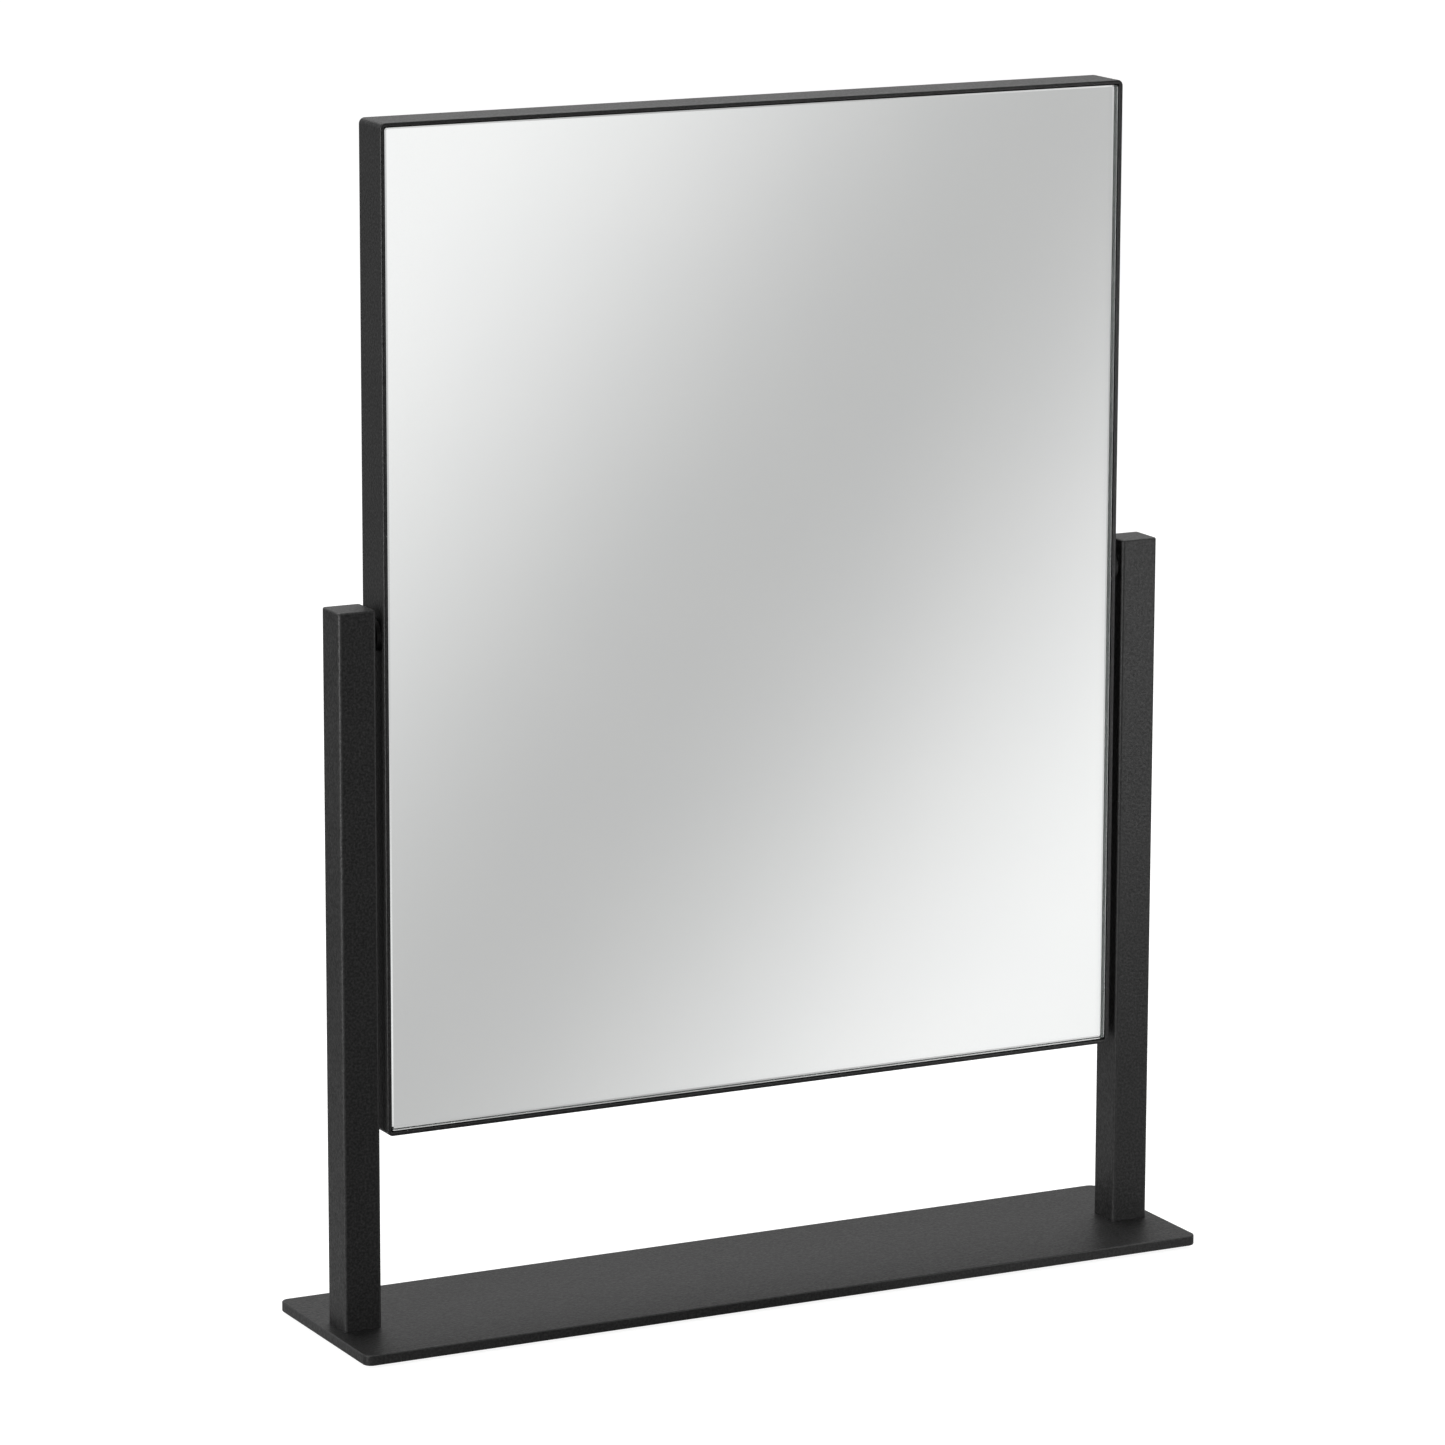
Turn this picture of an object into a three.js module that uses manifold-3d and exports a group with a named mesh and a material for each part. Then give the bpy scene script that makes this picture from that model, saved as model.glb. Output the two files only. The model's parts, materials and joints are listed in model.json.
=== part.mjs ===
// A countertop mirror: a rectangular mirror in a shallow black steel frame, hung between two
// square posts on a flat steel base. It turns about two friction pivots at its mid-height.
//
// Millimetres, +Z up, +X to the right as seen from the front, and the mirror faces -Y.
// The origin is in the middle of the footprint, on the surface that the mirror stands on.

import * as THREE from "three";
import { mergeVertices } from "three/addons/utils/BufferGeometryUtils.js";
import Module from "manifold-3d";

const wasm = await Module();
wasm.setup();

// ---------------------------------------------------------------- driving dimensions

const base = { width: 352, depth: 80, thickness: 4, cornerRadius: 3.5, edgeRadius: 0.5 };
const pad = { radius: 6, thickness: 1.5, inset: 12, chamfer: 0.4 };

// The posts stand this far in from the ends of the base, and their fronts line up with the
// front of the mirror's frame.
const post = { side: 15, wall: 1.5, cornerRadius: 1.2, height: 270, inset: 5 };
const cap = { thickness: 1.5, edgeRadius: 0.7 };
const plug = { height: 18, cornerRadius: 0.8, chamfer: 0.4, clearance: 0.3, boreRadius: 2.65 };

// The frame is a ring of flat steel strip, this far above the base.
const frame = { width: 306, height: 374, depth: 19, wall: 1.5, cornerRadius: 2.25, lift: 72.5 };
const frameEdgeRadius = 0.45;
const pivotHoleRadius = 2.2;

// What the frame holds, from front to back. A setback is the distance behind the frame's
// front edge to a piece's front face, and a gap is the space all round to the frame.
const glass = { thickness: 3, setback: 0.1, gap: 0.4, arris: 0.5, cornerRadius: 0.9 };
const tape = { thickness: 1, width: 20, length: 330, cornerRadius: 0.5, spacing: 115 };
const board = { thickness: 3, gap: 0.5, cornerRadius: 1, notchDepth: 8, notchHeight: 16 };
const bracket = { thickness: 1.5, leg: 22, tip: 3, gap: 0.3, holeInset: 8, holeRadius: 1.7 };
const panel = { thickness: 1, gap: 0.5, cornerRadius: 1, setback: 16.1, holeRadius: 1.8 };

// Layers that bear on each other are drawn this far apart.
const seat = 0.1;

// The shapes that cut holes and recesses start and end this far outside what they cut.
const past = 1;

// Fasteners. Radii are those of the nominal shank; the sockets are across flats.
const baseScrew = { radius: 2.5, length: 20, headRadius: 4.75, rim: 0.3, recess: 0.2, point: 0.5 };
const baseScrewSocket = { across: 3, depth: 1.6 };
const panelScrew = { radius: 1.5, length: 6, headRadius: 2.8, headHeight: 1.5, point: 0.4 };
const panelScrewCross = { width: 0.6, length: 3.1, depth: 0.75 };
const countersinkClearance = 0.3;

// The pivot's stack, measured from the post's inner face towards the mirror.
const insert = { boreRadius: 2.15, radius: 3, bulgeRadius: 4.2, flangeRadius: 4.5, flange: 0.7 };
const insertLength = 9.5;
const insertBulge = { length: 3, slope: 0.6 };
const insertHoleRadius = 3.2;
const frictionWasher = { radius: 6, boreRadius: 2.2, thickness: 2 };
const innerWasher = { radius: 4, boreRadius: 2.2, thickness: 0.8 };
const discSpring = { radius: 4, boreRadius: 2.15, thickness: 0.4, dish: 0.2 };
const pivotBolt = { radius: 2, length: 16, headRadius: 3.8, headHeight: 2.2, point: 0.4 };
const pivotBoltSocket = { across: 2.5, depth: 1.4 };
const turningGap = 0.2;

// Facets round each round piece and hole.
const roundSegments = 24;

// ---------------------------------------------------------------- worked-out positions

const baseTop = pad.thickness + base.thickness;
const postX = base.width / 2 - post.inset - post.side / 2;
const postY = (post.side - frame.depth) / 2;
const tubeLength = post.height - cap.thickness;
const pivotHeight = baseTop + frame.lift + frame.height / 2;
const sideGap = postX - post.side / 2 - frame.width / 2;
const tapeSetback = glass.setback + glass.thickness + seat;
const boardSetback = tapeSetback + tape.thickness + seat;
const bracketSetback = boardSetback + board.thickness + seat;

const sides = [
  ["left", -1],
  ["right", 1],
];
const corners = sides.flatMap(([across, signX]) => [
  ["lower_" + across, signX, -1],
  ["upper_" + across, signX, 1],
]);

// ---------------------------------------------------------------- finishes

const powderCoat = { color: 0x1d1d1e, roughness: 0.5, metalness: 0.1 };
const silvered = { color: 0xe4e6e7, roughness: 0.03, metalness: 1 };
const zincSteel = { color: 0xa9abad, roughness: 0.35, metalness: 0.9 };
const nylon = { color: 0x1a1a1a, roughness: 0.55, metalness: 0 };
const rubber = { color: 0x161616, roughness: 0.9, metalness: 0 };
const foam = { color: 0xd9d9d4, roughness: 0.8, metalness: 0 };
const hardboard = { color: 0x5b4634, roughness: 0.8, metalness: 0 };

// ---------------------------------------------------------------- shapes

function roundedOutline(width, height, radius) {
  const x = width / 2 - radius;
  const y = height / 2 - radius;
  const outline = new THREE.Shape();
  outline.absarc(x, y, radius, 0, Math.PI / 2);
  outline.absarc(-x, y, radius, Math.PI / 2, Math.PI);
  outline.absarc(-x, -y, radius, Math.PI, 1.5 * Math.PI);
  outline.absarc(x, -y, radius, 1.5 * Math.PI, 2 * Math.PI);
  return outline;
}

function ringOutline(width, height, radius, wall) {
  const outline = roundedOutline(width, height, radius);
  const innerRadius = Math.max(radius - wall, 0.3);
  outline.holes.push(roundedOutline(width - 2 * wall, height - 2 * wall, innerRadius));
  return outline;
}

// A flat piece from z = 0 up, with both faces' edges rounded, or chamfered when edgeSteps is 1.
function plate(outline, thickness, edge = 0, edgeSteps = 2) {
  const geometry = new THREE.ExtrudeGeometry(outline, {
    depth: thickness - 2 * edge,
    bevelEnabled: edge > 0,
    bevelThickness: edge,
    bevelSize: edge,
    bevelOffset: -edge,
    bevelSegments: edgeSteps,
    curveSegments: 3,
  });
  return geometry.translate(0, 0, edge);
}

// A plate with the edge of its upper face only rounded or chamfered.
function topEdgedPlate(outline, thickness, edge, edgeSteps) {
  const whole = plate(outline, thickness + edge, edge, edgeSteps);
  const reach = 1000;
  const below = new THREE.BoxGeometry(reach, reach, reach).translate(0, 0, edge - reach / 2);
  return cut(whole, below).translate(0, 0, -edge);
}

// A round piece about +Z from [radius, height] points that go up its outside.
function turned(profile) {
  const points = profile.map(([radius, height]) => new THREE.Vector2(radius, height));
  return new THREE.LatheGeometry(points, roundSegments).rotateX(Math.PI / 2);
}

function washerProfile({ radius, boreRadius, thickness }, bottom) {
  const top = bottom + thickness;
  return [
    [boreRadius, bottom],
    [radius, bottom],
    [radius, top],
    [boreRadius, top],
    [boreRadius, bottom],
  ];
}

function cylinder(radius, bottom, top, segments = roundSegments) {
  const height = top - bottom;
  const geometry = new THREE.CylinderGeometry(radius, radius, height, segments);
  return geometry.rotateX(Math.PI / 2).translate(0, 0, bottom + height / 2);
}

// A six-sided socket about +Z, with this size across its flats.
function hexSocket(across, bottom, top) {
  return cylinder(across / Math.sqrt(3), bottom, top, 6);
}

function solidOf(geometry) {
  const bare = geometry.clone();
  bare.deleteAttribute("normal");
  bare.deleteAttribute("uv");
  const merged = mergeVertices(bare, 1e-4);
  const vertProperties = merged.attributes.position.array;
  const triVerts = new Uint32Array(merged.index.array);
  return new wasm.Manifold(new wasm.Mesh({ numProp: 3, vertProperties, triVerts }));
}

function cut(geometry, ...tools) {
  let solid = solidOf(geometry);
  for (const tool of tools) solid = solid.subtract(solidOf(tool));
  const { vertProperties, triVerts } = solid.getMesh();
  const indexed = new THREE.BufferGeometry();
  indexed.setAttribute("position", new THREE.BufferAttribute(vertProperties, 3));
  indexed.setIndex(new THREE.BufferAttribute(triVerts, 1));
  const result = indexed.toNonIndexed();
  result.computeVertexNormals();
  return result;
}

// Stands a plate up to face -Y, in the frame's own axes, with its front face at this setback.
function upright(geometry, thickness, setback) {
  return geometry.rotateX(Math.PI / 2).translate(0, thickness + setback - frame.depth / 2, 0);
}

function addPart(group, name, geometry, finish, x = 0, y = 0, z = 0) {
  const mesh = new THREE.Mesh(geometry, new THREE.MeshStandardMaterial(finish));
  mesh.name = name;
  mesh.position.set(x, y, z);
  group.add(mesh);
}

// ---------------------------------------------------------------- base

// The countersink that a base screw's head sits in, open at the underside.
function countersunkHole() {
  const radius = baseScrew.radius + countersinkClearance;
  const depth = coneEnd(radius - countersinkClearance);
  return turned([
    [0, -past],
    [radius + depth + past, -past],
    [radius, depth],
    [radius, base.thickness + past],
    [0, base.thickness + past],
  ]);
}

// The height above the base's underside where a base screw's 90 degree cone has this radius.
function coneEnd(radius) {
  return baseScrew.recess + baseScrew.rim + baseScrew.headRadius - radius;
}

function basePlate() {
  const outline = roundedOutline(base.width, base.depth, base.cornerRadius);
  const blank = plate(outline, base.thickness, base.edgeRadius);
  const holes = sides.map(([, side]) => countersunkHole().translate(side * postX, postY, 0));
  return cut(blank, ...holes);
}

function baseScrewBody() {
  const { radius, length, headRadius, rim, recess, point } = baseScrew;
  const socketEnd = recess + baseScrewSocket.depth;
  const body = turned([
    [0, recess],
    [headRadius, recess],
    [headRadius, recess + rim],
    [radius, coneEnd(radius)],
    [radius, recess + length - point],
    [radius - point, recess + length],
    [0, recess + length],
  ]);
  return cut(body, hexSocket(baseScrewSocket.across, recess - past, socketEnd));
}

function rubberPad() {
  const { radius, thickness, chamfer } = pad;
  return turned([
    [0, 0],
    [radius - chamfer, 0],
    [radius, chamfer],
    [radius, thickness],
    [0, thickness],
  ]);
}

function addBase(group) {
  addPart(group, "base_plate", basePlate(), powderCoat, 0, 0, pad.thickness);
  for (const [name, side] of sides) {
    const screwName = name + "_base_screw";
    addPart(group, screwName, baseScrewBody(), zincSteel, side * postX, postY, pad.thickness);
    for (const [end, signY] of [["front", -1], ["rear", 1]]) {
      const x = side * (base.width / 2 - pad.inset);
      const y = signY * (base.depth / 2 - pad.inset);
      addPart(group, name + "_" + end + "_pad", rubberPad(), rubber, x, y);
    }
  }
}

// ---------------------------------------------------------------- posts

// A square tube with the pivot insert's hole in the wall that faces the mirror.
function postTube(side) {
  const outline = ringOutline(post.side, post.side, post.cornerRadius, post.wall);
  const hole = cylinder(insertHoleRadius, -2 * post.wall, 2 * post.wall);
  hole.rotateY(Math.PI / 2).translate((-side * post.side) / 2, 0, pivotHeight - baseTop);
  return cut(plate(outline, tubeLength), hole);
}

function footPlug() {
  const width = post.side - 2 * (post.wall + plug.clearance);
  const outline = roundedOutline(width, width, plug.cornerRadius);
  const block = plate(outline, plug.height, plug.chamfer, 1);
  return cut(block, cylinder(plug.boreRadius, -past, plug.height + past));
}

function addPosts(group) {
  for (const [name, side] of sides) {
    const x = side * postX;
    const capOutline = roundedOutline(post.side, post.side, post.cornerRadius);
    const capPlate = topEdgedPlate(capOutline, cap.thickness, cap.edgeRadius, 3);
    addPart(group, name + "_post", postTube(side), powderCoat, x, postY, baseTop);
    addPart(group, name + "_post_cap", capPlate, powderCoat, x, postY, baseTop + tubeLength);
    addPart(group, name + "_foot_plug", footPlug(), zincSteel, x, postY, baseTop);
  }
}

// ---------------------------------------------------------------- pivots

// A rivet nut: its flange bears on the post's wall, and its bulge grips the wall from inside.
function pivotInsert() {
  const { boreRadius, radius, bulgeRadius, flangeRadius, flange } = insert;
  const bulgeStart = -post.wall - turningGap;
  const bulgeEnd = bulgeStart - insertBulge.length;
  return turned([
    [boreRadius, -insertLength],
    [radius, -insertLength],
    [radius, bulgeEnd],
    [bulgeRadius, bulgeEnd + insertBulge.slope],
    [bulgeRadius, bulgeStart - insertBulge.slope],
    [radius, bulgeStart],
    [radius, seat],
    [flangeRadius, seat],
    [flangeRadius, seat + flange],
    [boreRadius, seat + flange],
    [boreRadius, -insertLength],
  ]);
}

function discSpringBody(bottom) {
  const { radius, boreRadius, thickness, dish } = discSpring;
  return turned([
    [boreRadius, bottom + dish],
    [radius, bottom],
    [radius, bottom + thickness],
    [boreRadius, bottom + thickness + dish],
    [boreRadius, bottom + dish],
  ]);
}

// A button-head screw whose head bears at this height and whose shank runs down from it.
function pivotBoltBody(headBottom) {
  const { radius, length, headRadius, headHeight, point } = pivotBolt;
  const tip = headBottom - length;
  const top = headBottom + headHeight;
  const socketEnd = top - pivotBoltSocket.depth;
  const body = turned([
    [0, tip],
    [radius - point, tip],
    [radius, tip + point],
    [radius, headBottom],
    [headRadius, headBottom],
    [headRadius, headBottom + 0.2 * headHeight],
    [0.87 * headRadius, headBottom + 0.62 * headHeight],
    [0.6 * headRadius, headBottom + 0.9 * headHeight],
    [0.37 * headRadius, top],
    [0, top],
  ]);
  return cut(body, hexSocket(pivotBoltSocket.across, socketEnd, top + past));
}

// Each pivot is drawn along +Z from the post's inner face, then turned to point at the mirror.
function addPivots(group) {
  const frameOuter = sideGap;
  const frameInner = frameOuter + frame.wall;
  const innerWasherBottom = frameInner + turningGap;
  const springBottom = innerWasherBottom + innerWasher.thickness + seat;
  const headBottom = springBottom + discSpring.thickness + discSpring.dish + seat;
  const frictionBottom = frameOuter - seat - frictionWasher.thickness;
  for (const [name, side] of sides) {
    const pivot = new THREE.Group();
    pivot.position.set(side * (postX - post.side / 2), postY, pivotHeight);
    pivot.rotation.y = (-side * Math.PI) / 2;
    group.add(pivot);
    const outerWasher = turned(washerProfile(frictionWasher, frictionBottom));
    const clampWasher = turned(washerProfile(innerWasher, innerWasherBottom));
    addPart(pivot, name + "_pivot_insert", pivotInsert(), zincSteel);
    addPart(pivot, name + "_friction_washer", outerWasher, nylon);
    addPart(pivot, name + "_inner_washer", clampWasher, nylon);
    addPart(pivot, name + "_disc_spring", discSpringBody(springBottom), zincSteel);
    addPart(pivot, name + "_pivot_bolt", pivotBoltBody(headBottom), zincSteel);
  }
}

// ---------------------------------------------------------------- mirror

function frameRing() {
  const outline = ringOutline(frame.width, frame.height, frame.cornerRadius, frame.wall);
  const ring = upright(plate(outline, frame.depth, frameEdgeRadius), frame.depth, 0);
  const holes = sides.map(([, side]) => {
    const hole = cylinder(pivotHoleRadius, -2 * frame.wall, 2 * frame.wall);
    return hole.rotateY(Math.PI / 2).translate((side * frame.width) / 2, postY, 0);
  });
  return cut(ring, ...holes);
}

// The opening inside the frame, less this gap all round.
function insideFrame(gap, radius) {
  const margin = 2 * (frame.wall + gap);
  return roundedOutline(frame.width - margin, frame.height - margin, radius);
}

function glassPane() {
  const outline = insideFrame(glass.gap, glass.cornerRadius);
  const pane = topEdgedPlate(outline, glass.thickness, glass.arris, 1);
  return upright(pane, glass.thickness, glass.setback);
}

function tapeStrip() {
  const strip = plate(roundedOutline(tape.width, tape.length, tape.cornerRadius), tape.thickness);
  return upright(strip, tape.thickness, tapeSetback);
}

// A flat board, notched in its two upright edges to clear the pivots' heads and washers.
function backingBoard() {
  const blank = plate(insideFrame(board.gap, board.cornerRadius), board.thickness);
  const edgeX = frame.width / 2 - frame.wall - board.gap;
  const notches = sides.map(([, side]) => {
    const notchSize = [2 * board.notchDepth, board.notchHeight, 3 * board.thickness];
    const notch = new THREE.BoxGeometry(...notchSize);
    return notch.translate(side * edgeX, 0, 0);
  });
  return upright(cut(blank, ...notches), board.thickness, boardSetback);
}

function cornerOutline(points, signX, signZ) {
  return new THREE.Shape(points.map(([a, b]) => new THREE.Vector2(-signX * a, -signZ * b)));
}

// A corner angle: two legs against the frame's walls, which hold the board in, and a web
// across them at the back, which the panel is screwed to. Its corner is at the origin.
function cornerBracket(signX, signZ) {
  const { thickness, leg, tip, holeInset, holeRadius } = bracket;
  const depth = panel.setback - seat - bracketSetback;
  const whole = [[0, 0], [leg, 0], [leg, tip], [tip, leg], [0, leg]];
  const inner = [[thickness, thickness], [2 * leg, thickness], [thickness, 2 * leg]];
  const block = plate(cornerOutline(whole, signX, signZ), depth);
  const pocket = plate(cornerOutline(inner, signX, signZ), depth).translate(0, 0, thickness);
  const hole = cylinder(holeRadius, -past, depth);
  hole.translate(-signX * holeInset, -signZ * holeInset, 0);
  return upright(cut(block, pocket, hole), depth, bracketSetback);
}

// Where a bracket's corner is, in the frame's own axes.
function bracketCorner(signX, signZ) {
  const inset = frame.wall + bracket.gap;
  return [signX * (frame.width / 2 - inset), signZ * (frame.height / 2 - inset)];
}

function panelHoleCentre(signX, signZ) {
  const [x, z] = bracketCorner(signX, signZ);
  return [x - signX * bracket.holeInset, z - signZ * bracket.holeInset];
}

function backPanel() {
  const blank = plate(insideFrame(panel.gap, panel.cornerRadius), panel.thickness);
  const holes = corners.map(([, signX, signZ]) => {
    const [x, z] = panelHoleCentre(signX, signZ);
    return cylinder(panel.holeRadius, -past, panel.thickness + past).translate(x, z, 0);
  });
  return upright(cut(blank, ...holes), panel.thickness, panel.setback);
}

// A pan-head screw with a cross recess, its head on the back of the panel and facing +Y.
function panelScrewBody() {
  const { radius, length, headRadius, headHeight, point } = panelScrew;
  const body = turned([
    [0, -length],
    [radius - point, -length],
    [radius, point - length],
    [radius, 0],
    [headRadius, 0],
    [headRadius, 0.45 * headHeight],
    [0.8 * headRadius, 0.9 * headHeight],
    [0.5 * headRadius, headHeight],
    [0, headHeight],
  ]);
  const slot = [panelScrewCross.length, panelScrewCross.width, 2 * panelScrewCross.depth];
  const recess = [0, Math.PI / 2].map((turn) => {
    const bar = new THREE.BoxGeometry(...slot).rotateZ(turn);
    return bar.translate(0, 0, headHeight);
  });
  const bearing = panel.setback + panel.thickness + seat - frame.depth / 2;
  return cut(body, ...recess).rotateX(-Math.PI / 2).translate(0, bearing, 0);
}

function addMirror(group) {
  const mirror = new THREE.Group();
  mirror.position.set(0, 0, pivotHeight);
  group.add(mirror);
  addPart(mirror, "mirror_frame", frameRing(), powderCoat);
  addPart(mirror, "mirror_glass", glassPane(), silvered);
  addPart(mirror, "backing_board", backingBoard(), hardboard);
  addPart(mirror, "back_panel", backPanel(), powderCoat);
  for (const [name, place] of [["left", -1], ["centre", 0], ["right", 1]]) {
    addPart(mirror, name + "_tape", tapeStrip(), foam, place * tape.spacing);
  }
  for (const [name, signX, signZ] of corners) {
    const [cornerX, cornerZ] = bracketCorner(signX, signZ);
    const [holeX, holeZ] = panelHoleCentre(signX, signZ);
    const angle = cornerBracket(signX, signZ);
    addPart(mirror, name + "_bracket", angle, zincSteel, cornerX, 0, cornerZ);
    addPart(mirror, name + "_panel_screw", panelScrewBody(), zincSteel, holeX, 0, holeZ);
  }
}

// ---------------------------------------------------------------- assembly

const countertopMirror = new THREE.Group();
addBase(countertopMirror);
addPosts(countertopMirror);
addPivots(countertopMirror);
addMirror(countertopMirror);

export default countertopMirror;
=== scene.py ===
"""The countertop mirror's looks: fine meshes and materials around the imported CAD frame, in a pale studio."""

import json
import math

import bmesh
import bpy
from mathutils import Matrix, Vector


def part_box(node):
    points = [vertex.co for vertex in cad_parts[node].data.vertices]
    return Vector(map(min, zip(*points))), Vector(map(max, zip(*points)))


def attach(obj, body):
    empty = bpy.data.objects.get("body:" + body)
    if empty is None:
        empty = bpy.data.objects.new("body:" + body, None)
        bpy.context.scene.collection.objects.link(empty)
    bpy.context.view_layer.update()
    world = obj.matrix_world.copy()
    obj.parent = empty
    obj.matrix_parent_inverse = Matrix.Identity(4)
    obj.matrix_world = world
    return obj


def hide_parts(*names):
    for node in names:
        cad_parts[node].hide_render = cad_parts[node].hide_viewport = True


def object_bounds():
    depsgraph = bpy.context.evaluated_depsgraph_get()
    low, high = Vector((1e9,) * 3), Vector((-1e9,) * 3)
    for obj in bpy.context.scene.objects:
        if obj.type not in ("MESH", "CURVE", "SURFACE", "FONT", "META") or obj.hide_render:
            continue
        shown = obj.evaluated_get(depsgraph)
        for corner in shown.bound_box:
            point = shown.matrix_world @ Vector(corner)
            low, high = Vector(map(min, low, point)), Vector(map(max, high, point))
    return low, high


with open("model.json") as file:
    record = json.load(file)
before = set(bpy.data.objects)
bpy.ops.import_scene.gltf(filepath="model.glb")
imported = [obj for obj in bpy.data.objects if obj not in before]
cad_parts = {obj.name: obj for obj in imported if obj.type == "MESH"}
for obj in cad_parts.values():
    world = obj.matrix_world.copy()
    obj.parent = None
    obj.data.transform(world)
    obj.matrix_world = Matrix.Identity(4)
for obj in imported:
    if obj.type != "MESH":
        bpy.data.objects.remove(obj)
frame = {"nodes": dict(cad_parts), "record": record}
cad_low, cad_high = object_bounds()

MM = 0.001
SIDES = {"left": -1, "right": 1}

# The camera looks at a point near the middle of the object.
CAMERA_AZIMUTH = math.radians(-27.06)
CAMERA_ELEVATION = math.radians(12.07)
CAMERA_ROLL = math.radians(0.16)
CAMERA_DISTANCE = 2.544
CAMERA_LENS = 169.6
AIM_OFFSET = Vector((-0.0106, 0.0, -0.0075))

# The studio is darkest in this direction, round the camera.
DARK_SIDE = Vector((-0.25, -0.97, 0.0))

# Radii, walls and edges that the CAD boxes don't tell.
BASE_CORNER = 3.5 * MM
BASE_EDGE = 0.5 * MM
POST_CORNER = 1.2 * MM
POST_WALL = 1.5 * MM
POST_END_EDGE = 0.02 * MM
CAP_EDGE = 0.7 * MM
PAD_EDGE = 0.45 * MM
WASHER_EDGE = 0.25 * MM
FRAME_CORNER = 2.25 * MM
FRAME_EDGE = 0.45 * MM
FRAME_WALL = 1.5 * MM
GLASS_CORNER = 0.9 * MM
GLASS_ARRIS = 0.5 * MM
PANEL_CORNER = 1.0 * MM
PANEL_EDGE = 0.25 * MM
LEAST_RADIUS = 0.3 * MM

# Radii of holes.
PIVOT_HOLE = 2.2 * MM
INSERT_HOLE = 3.2 * MM
PANEL_HOLE = 1.8 * MM

# The base's countersunk screws, and the holes' spare radius round their heads and shanks.
BASE_SCREW_SHANK = 2.5 * MM
SCREW_RIM = 0.3 * MM
SCREW_EDGE = 0.12 * MM
SCREW_POINT = 0.5 * MM
HEX_ACROSS = 3.0 * MM
HEX_DEPTH = 1.6 * MM
COUNTERSINK_GAP = 0.8 * MM
SHANK_GAP = 0.3 * MM

# The pivot inserts. The bulge starts this far from the flange's face.
INSERT_BORE = 2.15 * MM
INSERT_RADIUS = 3.0 * MM
INSERT_FLANGE = 0.7 * MM
INSERT_BULGE = 4.2 * MM
BULGE_START = 2.5 * MM
BULGE_LENGTH = 3.0 * MM
BULGE_SLOPE = 0.6 * MM

# The back panel's pan-head screws. At its floor, a cross recess keeps only this share of its length.
PAN_HEIGHT = 1.5 * MM
PAN_DOME = 0.75 * MM
PAN_SHANK = 1.5 * MM
PAN_POINT = 0.4 * MM
CROSS_LENGTH = 3.1 * MM
CROSS_WIDTH = 0.62 * MM
CROSS_DEPTH = 0.95 * MM
CROSS_TAPER = 0.55

# Cutters reach this far past what they cut.
PAST = 1.0 * MM

ARC_STEPS = 5
CORNER_STEPS = 10
ROUND_STEPS = 64
SHARP_ANGLE = math.radians(35)
MERGE_DISTANCE = 1e-7
# The mesh attribute that marks rounded edges for the paler edge colour: partly wear, partly painted highlight.
EDGE_ATTRIBUTE = "edge"

# These lay a piece that was drawn about +Z along +X, or stand a plate up to face -Y.
ACROSS = Matrix.Rotation(math.pi / 2, 4, "Y")
UPRIGHT = Matrix.Rotation(math.pi / 2, 4, "X")

# Brightness of the surroundings. Round the camera, everything is at its darkest.
WORLD_SEEN = 1.1
WORLD_MIRRORED = 0.8
WORLD_BRIGHT = 0.5
WORLD_DARK = 0.18
FLOOR_SEEN = 0.9
FLOOR_FAR = 0.28
FLOOR_NEAR = 0.6
FLOOR_DARK = 0.17

# The floor is lighter within the near radius of the object than beyond the far one.
FLOOR_HALF_SIZE = 20
FLOOR_NEAR_RADIUS = 0.15
FLOOR_FAR_RADIUS = 0.6
FLOOR_DROP = 0.02 * MM

# The card that the mirror shows: its place, and the size and brightness of its diagonal bands.
CARD_HALF_SIZE = 3
CARD_DISTANCE = 0.21
BAND_ACROSS = 0.335
BAND_DOWN = 0.41
BAND_SHIFT = 0.196
BAND_PERIOD = 0.95
BAND_BRIGHT = 0.985
BAND_DIM = 0.55

# Each soft box's place, target, size and power in watts.
LIGHTS = {
    "top_box": ((0.2, 0.6, 1.6), (0, 0, 0.1), (1.6, 1.2), 26),
    "left_strip": ((-1.0, -0.42, 0.15), (0, 0, 0.15), (0.2, 0.9), 14.5),
    "right_box": ((0.42, -0.45, 0.2), (0.16, 0, 0.25), (0.25, 0.35), 1.15),
}

PANEL_SCREWS = [name for name in frame["nodes"] if name.endswith("_panel_screw")]
PADS = [name for name in frame["nodes"] if name.endswith("_pad")]


# ------------------------------------------------------------------ node graphs

def node(tree, kind, inputs=None, **settings):
    """A shader node with its settings, and each input set to a value or linked to a socket."""
    made = tree.nodes.new(kind)
    for name, value in settings.items():
        setattr(made, name, value)
    for name, value in (inputs or {}).items():
        if isinstance(value, bpy.types.NodeSocket):
            tree.links.new(value, made.inputs[name])
        else:
            made.inputs[name].default_value = value
    return made


def noise(tree, place, scale, detail):
    """Noise with this many cycles to the metre."""
    inputs = {"Vector": place, "Scale": scale, "Detail": detail, "Roughness": 0.55}
    return node(tree, "ShaderNodeTexNoise", inputs).outputs["Fac"]


def spread(tree, value, low, high, start=0.3, end=0.7):
    """The value's middle band, from start to end, stretched over low to high."""
    inputs = {"Value": value, "From Min": start, "From Max": end, "To Min": low, "To Max": high}
    return node(tree, "ShaderNodeMapRange", inputs).outputs["Result"]


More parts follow.
